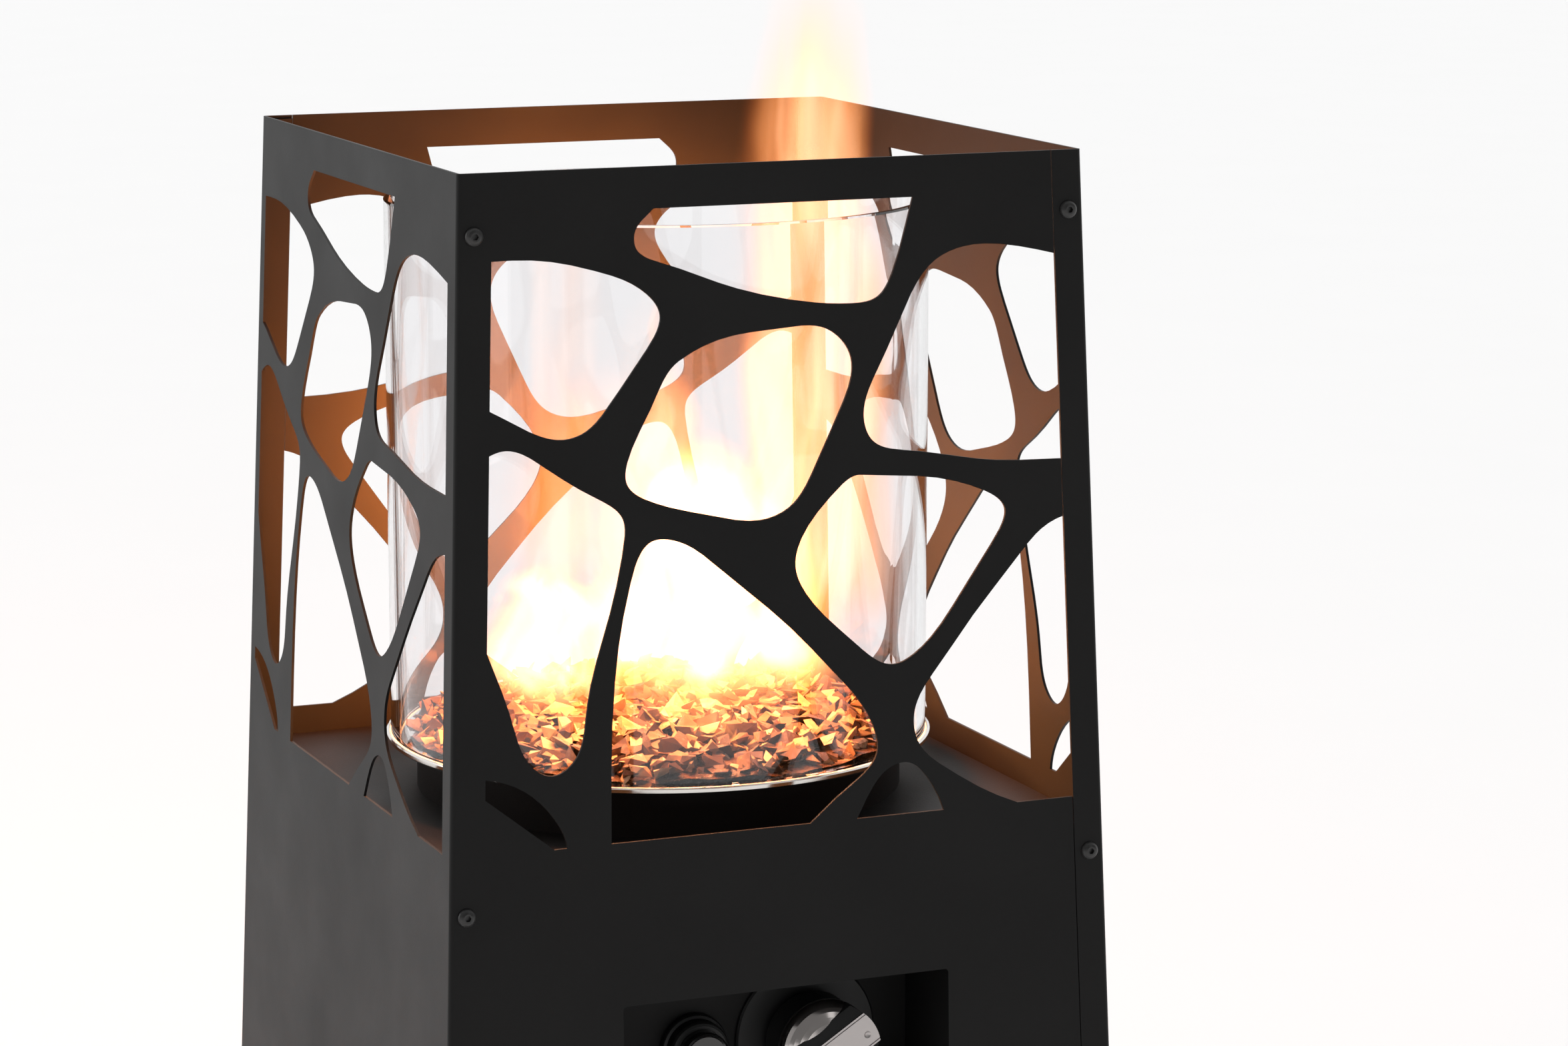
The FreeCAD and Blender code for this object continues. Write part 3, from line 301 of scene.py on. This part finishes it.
def dress_nodes(materials):
    slot_of = {s["node"]: s["material_slot"] for s in frame["record"]["subparts"]}
    for name, obj in nodes.items():
        wanted = materials.get(slot_of[name])
        if wanted is None:
            continue
        if not obj.material_slots:
            obj.data.materials.append(wanted)
        for place in obj.material_slots:
            place.material = wanted


# ---------------------------------------------------------------- glass chips

CHIP_COUNT = 1300
CHIP_POINTS = 7
CHIP_SPREAD = 0.1385
CHIP_WALL = 0.1455
CHIP_PEAK = 0.004
BED_REACH = 0.147
HEAP_REACH = 0.141
HEAP_RINGS = 24
HEAP_SPOKES = 72
GOLDEN_ANGLE = 2.399963


def chip_material():
    mat = bpy.data.materials.new("glass_chips")
    mat.use_nodes = True
    nt = mat.node_tree
    bsdf = nt.nodes["Principled BSDF"]
    bsdf.inputs["Specular IOR Level"].default_value = 0.2
    # this attribute holds each chip's random tone and also the heap's fixed dark tone, which is painted
    # shade between the chips
    tone_and_shade = nt.nodes.new("ShaderNodeAttribute")
    tone_and_shade.attribute_name = "tone_and_shade"
    ramp = nt.nodes.new("ShaderNodeValToRGB")
    ramp.color_ramp.elements[0].color = (0.026, 0.013, 0.009, 1)
    ramp.color_ramp.elements[1].color = (0.46, 0.29, 0.17, 1)
    middle = ramp.color_ramp.elements.new(0.55)
    middle.color = (0.13, 0.068, 0.040, 1)
    nt.links.new(tone_and_shade.outputs["Fac"], ramp.inputs["Fac"])
    vector = stretched(nt, (1, 1, 1))
    grain = noise_at(nt, vector, 260.0, 4.0)
    mottled = nt.nodes.new("ShaderNodeMix")
    mottled.data_type = "RGBA"
    mottled.blend_type = "MULTIPLY"
    mottled.inputs["Factor"].default_value = 0.5
    nt.links.new(ramp.outputs["Color"], mottled.inputs["A"])
    nt.links.new(ramp_between(nt, grain, (0.45, 0.42, 0.4), (1.2, 1.2, 1.2)), mottled.inputs["B"])
    nt.links.new(mottled.outputs["Result"], bsdf.inputs["Base Color"])
    spread = nt.nodes.new("ShaderNodeMapRange")
    spread.inputs["To Min"].default_value = 0.12
    spread.inputs["To Max"].default_value = 0.38
    nt.links.new(grain, spread.inputs["Value"])
    nt.links.new(spread.outputs["Result"], bsdf.inputs["Roughness"])
    bump = nt.nodes.new("ShaderNodeBump")
    bump.inputs["Strength"].default_value = 0.25
    bump.inputs["Distance"].default_value = 0.0005
    nt.links.new(grain, bump.inputs["Height"])
    nt.links.new(bump.outputs["Normal"], bsdf.inputs["Normal"])
    return mat


def bed_height(radius, low, high):
    """Height of the heap: nearly flat in the middle, falling away at the glass."""
    return low + (high - low) * (1.0 - (radius / BED_REACH) ** 3.2)


def add_painted_shade_heap(bm, layer, rim, top):
    """Closed heap under the chips, so nothing shows through between them; its dark tone is painted shade in
    the gaps.
    """
    rings = []
    for i in range(HEAP_RINGS + 1):
        r = HEAP_REACH * i / HEAP_RINGS
        z = bed_height(r, rim - 0.001, top - 0.006)
        row = []
        for k in range(HEAP_SPOKES):
            a = 2 * math.pi * k / HEAP_SPOKES
            wobble = 0.0012 * math.sin(9 * a + 31 * r) + 0.001 * math.sin(23 * a - 90 * r)
            vert = bm.verts.new((r * math.cos(a), r * math.sin(a), z + wobble)) if i else None
            if vert is not None:
                # tone 0.1 colours the heap dark: painted shade, as if the lower chips lay in shadow
                vert[layer] = 0.1
            row.append(vert)
        rings.append(row)
    centre = bm.verts.new((0, 0, bed_height(0, rim - 0.001, top - 0.006)))
    # the centre of the heap gets the same dark painted-shade tone
    centre[layer] = 0.1
    for k in range(HEAP_SPOKES):
        bm.faces.new((centre, rings[1][k], rings[1][(k + 1) % HEAP_SPOKES]))
    for i in range(1, HEAP_RINGS):
        for k in range(HEAP_SPOKES):
            n = (k + 1) % HEAP_SPOKES
            bm.faces.new((rings[i][k], rings[i + 1][k], rings[i + 1][n], rings[i][n]))


def add_chips():
    rng = random.Random(11)
    low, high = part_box("chip_bed")
    rim = low[2] + 0.0035
    top = high[2] - 0.0035
    bm = bmesh.new()
    layer = bm.verts.layers.float.new("tone_and_shade")
    add_painted_shade_heap(bm, layer, rim, top)
    for c in range(CHIP_COUNT):
        r = CHIP_SPREAD * math.sqrt((c + 0.5) / CHIP_COUNT)
        a = c * GOLDEN_ANGLE + rng.uniform(-0.2, 0.2)
        size = rng.uniform(0.0050, 0.0110) * (1.0 if r < 0.125 else 0.7)
        flat = rng.uniform(0.28, 0.6)
        long = rng.uniform(0.75, 1.45)
        z = bed_height(r, rim, top - 0.0045) + rng.uniform(-0.001, 0.0035)
        spot = Vector((r * math.cos(a), r * math.sin(a), z))
        tilt = Matrix.Rotation(rng.uniform(0, 2 * math.pi), 3, "Z") @ \
            Matrix.Rotation(rng.gauss(0, 0.5), 3, "X") @ Matrix.Rotation(rng.gauss(0, 0.5), 3, "Y")
        points = []
        for _ in range(CHIP_POINTS):
            v = Vector((rng.gauss(0, 1), rng.gauss(0, 1), rng.gauss(0, 1))).normalized()
            points.append(tilt @ Vector((v.x * size * long, v.y * size, v.z * size * flat)) + spot)
        reach = max(math.hypot(p.x, p.y) for p in points)
        if reach > CHIP_WALL:
            pull = (reach - CHIP_WALL) * Vector((math.cos(a), math.sin(a), 0))
            points = [p - pull for p in points]
        peak = max(p.z for p in points)
        if peak > high[2] + CHIP_PEAK:
            points = [p - Vector((0, 0, peak - high[2] - CHIP_PEAK)) for p in points]
        verts = [bm.verts.new(p) for p in points]
        shade = rng.random() ** 1.4
        for vert in verts:
            vert[layer] = shade
        made = bmesh.ops.convex_hull(bm, input=verts)
        loose = [g for g in made["geom_interior"] + made["geom_unused"]
                 if isinstance(g, bmesh.types.BMVert)]
        bmesh.ops.delete(bm, geom=list(set(loose)), context="VERTS")
    mesh = bpy.data.meshes.new("glass_chips")
    bm.to_mesh(mesh)
    bm.free()
    chips = bpy.data.objects.new("glass_chips", mesh)
    scene.collection.objects.link(chips)
    mesh.materials.append(chip_material())
    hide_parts("chip_bed")
    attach(chips, "chassis")


# ---------------------------------------------------------------- flame (not part of the object)

class Graph:
    """Short way to chain nodes in one material."""

    def __init__(self, tree):
        self.tree = tree

    def put(self, kind, sockets=None, **settings):
        node = self.tree.nodes.new(kind)
        for key, value in settings.items():
            setattr(node, key, value)
        for name, value in (sockets or {}).items():
            if isinstance(value, bpy.types.NodeSocket):
                self.tree.links.new(value, node.inputs[name])
            else:
                node.inputs[name].default_value = value
        return node

    def math(self, kind, *values):
        node = self.put("ShaderNodeMath", dict(enumerate(values)), operation=kind)
        return node.outputs["Value"]

    def steps(self, factor, stops):
        node = self.put("ShaderNodeValToRGB", {"Fac": factor})
        ramp = node.color_ramp
        ramp.elements[0].position = stops[0][0]
        ramp.elements[0].color = (*stops[0][1], 1)
        ramp.elements[1].position = stops[-1][0]
        ramp.elements[1].color = (*stops[-1][1], 1)
        for place, colour in stops[1:-1]:
            ramp.elements.new(place).color = (*colour, 1)
        return node.outputs["Color"]


FLAME_COLOURS = ((0.0, (1.0, 0.20, 0.035)), (0.35, (1.0, 0.32, 0.085)), (0.75, (1.0, 0.44, 0.17)),
                 (1.0, (1.0, 0.62, 0.36)))
COLUMN = ((0.0, 0.50), (0.12, 0.72), (0.40, 0.66), (0.70, 0.62), (0.90, 0.52), (1.0, 0.30))
TONGUE = ((0.0, 0.62), (0.18, 0.72), (0.45, 0.50), (0.75, 0.24), (1.0, 0.0))
HILL = ((0.0, 0.66), (0.20, 0.80), (0.45, 0.74), (0.75, 0.52), (1.0, 0.15))


def flame_material(name, seed, outline, wisp, streak, crisp, strength, cool, soak):
    """Glowing volume in the mesh's own -1..1 box, bent by slow noise and combed into streaks."""
    mat = bpy.data.materials.new(name)
    mat.use_nodes = True
    nt = mat.node_tree
    nt.nodes.remove(nt.nodes["Principled BSDF"])
    g = Graph(nt)
    place = g.put("ShaderNodeTexCoord").outputs["Object"]
    slow = g.put("ShaderNodeMapping", {"Vector": place, "Location": (seed * 3.7, seed * 1.9, seed * 5.3),
                                       "Scale": (0.9, 0.9, 1.5)})
    bend = g.put("ShaderNodeTexNoise", {"Vector": slow.outputs["Vector"], "Scale": 1.0, "Detail": 1.5})
    centred = g.put("ShaderNodeVectorMath", {0: bend.outputs["Color"], 1: (0.5, 0.5, 0.5)},
                    operation="SUBTRACT")
    scaled = g.put("ShaderNodeVectorMath", {0: centred.outputs["Vector"], "Scale": wisp},
                   operation="SCALE")
    torn = g.put("ShaderNodeVectorMath", {0: place, 1: scaled.outputs["Vector"]}, operation="ADD")
    split = g.put("ShaderNodeSeparateXYZ", {"Vector": torn.outputs["Vector"]})
    upright = g.put("ShaderNodeSeparateXYZ", {"Vector": place})
    height = g.math("MULTIPLY_ADD", split.outputs["Z"], 0.5, 0.5)
    profile = g.put("ShaderNodeFloatCurve", {"Value": height})
    curve = profile.mapping.curves[0]
    curve.points[0].location = outline[0]
    curve.points[1].location = outline[-1]
    for spot in outline[1:-1]:
        curve.points.new(*spot)
    profile.mapping.update()
    x, y = split.outputs["X"], split.outputs["Y"]
    radius = g.math("SQRT", g.math("ADD", g.math("MULTIPLY", x, x), g.math("MULTIPLY", y, y)))
    near = g.math("DIVIDE", radius, g.math("MAXIMUM", profile.outputs["Value"], 0.03))
    core = g.put("ShaderNodeMapRange", {"Value": near, "From Min": 1.0, "From Max": crisp},
                 interpolation_type="SMOOTHSTEP").outputs["Result"]
    fade = g.put("ShaderNodeMapRange", {"Value": upright.outputs["Z"], "From Min": 1.0, "From Max": 0.5},
                 interpolation_type="SMOOTHSTEP")
    foot = g.put("ShaderNodeMapRange", {"Value": upright.outputs["Z"], "From Min": -1.0, "From Max": -0.6},
                 interpolation_type="SMOOTHSTEP")
    comb = g.put("ShaderNodeMapping", {"Vector": torn.outputs["Vector"], "Location": (seed, seed * 2.3, 0.0),
                                       "Scale": (streak, streak, streak * 0.13)})
    fine = g.put("ShaderNodeTexNoise", {"Vector": comb.outputs["Vector"], "Scale": 1.0, "Detail": 2.0,
                                        "Roughness": 0.6, "Distortion": 0.5})
    combed = g.put("ShaderNodeMapRange", {"Value": fine.outputs["Fac"], "From Min": 0.34, "From Max": 0.66,
                                          "To Min": 0.12, "To Max": 1.35}, interpolation_type="SMOOTHSTEP")
    body = g.math("MULTIPLY", g.math("MULTIPLY", core, combed.outputs["Result"]),
                  g.math("MULTIPLY", fade.outputs["Result"], foot.outputs["Result"]))
    heat = g.put("ShaderNodeMapRange", {"Value": upright.outputs["Z"], "From Min": -0.6, "From Max": 0.7,
                                        "To Min": strength, "To Max": strength * cool})
    emit = g.put("ShaderNodeEmission", {"Color": g.steps(body, FLAME_COLOURS),
                                        "Strength": g.math("MULTIPLY", body, heat.outputs["Result"])})
    dim = g.put("ShaderNodeVolumeAbsorption", {"Color": (0.60, 0.20, 0.05, 1.0),
                                               "Density": g.math("MULTIPLY", body, soak)})
    both = g.put("ShaderNodeAddShader", {0: emit.outputs["Emission"], 1: dim.outputs["Volume"]})
    nt.links.new(both.outputs["Shader"], nt.nodes["Material Output"].inputs["Volume"])
    return mat


def add_flame(name, place, levels, reach, seed, outline, lean=0.0, wisp=0.5, streak=3.0,
              crisp=0.4, strength=24.0, cool=1.0, soak=18.0):
    """One tongue; place is across the picture and away from the viewer, both from the glass axis."""
    across, away = place
    right_x, right_y = CAMERA_RIGHT
    x = right_x * across - right_y * away
    y = right_y * across + right_x * away
    mesh = bpy.data.meshes.new(name)
    bm = bmesh.new()
    bmesh.ops.create_cube(bm, size=2.0)
    bm.to_mesh(mesh)
    bm.free()
    obj = bpy.data.objects.new(name, mesh)
    scene.collection.objects.link(obj)
    slant = Matrix.Identity(4)
    slant[0][2] = right_x * lean
    slant[1][2] = right_y * lean
    middle = (levels[0] + levels[1]) / 2.0
    size = Matrix.Diagonal((reach[0], reach[1], (levels[1] - levels[0]) / 2.0, 1.0))
    obj.matrix_world = Matrix.Translation((x, y, middle)) @ slant @ size
    mesh.materials.append(flame_material(name, seed, outline, wisp, streak, crisp, strength,
                                         cool, soak))
    obj.visible_diffuse = False
    obj.visible_shadow = False


def add_flames():
    add_flame("flame_column", (0.083, 0.0), (0.84, 1.250), (0.062, 0.062), 1.0, COLUMN,
              lean=0.03, wisp=0.95, streak=2.6, crisp=0.6, strength=48.0, cool=0.62, soak=14.0)
    add_flame("flame_hill", (0.028, 0.0), (0.826, 0.985), (0.108, 0.100), 2.0, HILL,
              wisp=0.5, streak=3.2, crisp=0.5, strength=90.0, soak=9.0)
    add_flame("flame_low", (-0.060, -0.01), (0.824, 0.915), (0.072, 0.070), 6.0, HILL,
              wisp=0.6, streak=3.0, crisp=0.35, strength=60.0, soak=9.0)
    add_flame("flame_left", (0.004, -0.01), (0.88, 1.08), (0.046, 0.046), 3.0, TONGUE,
              lean=0.05, wisp=0.9, streak=2.2, crisp=0.3, strength=60.0, cool=0.5, soak=13.0)
    add_flame("flame_haze", (-0.050, 0.01), (0.88, 1.13), (0.075, 0.060), 4.0, TONGUE,
              lean=0.02, wisp=0.9, streak=4.0, crisp=0.1, strength=13.0, cool=0.6, soak=7.0)
    add_flame("flame_edge", (0.121, 0.0), (0.86, 1.10), (0.024, 0.040), 7.0, COLUMN,
              wisp=0.35, streak=1.6, crisp=0.2, strength=24.0, cool=0.7, soak=24.0)
    add_flame("flame_front", (0.032, -0.082), (0.822, 0.880), (0.026, 0.020), 5.0, TONGUE,
              wisp=0.5, streak=2.0, crisp=0.1, strength=44.0, soak=10.0)


# ---------------------------------------------------------------- build

add_camera()
add_floor()
add_world()
add_lights()
dress_nodes(build_materials())
add_chips()
add_flames()
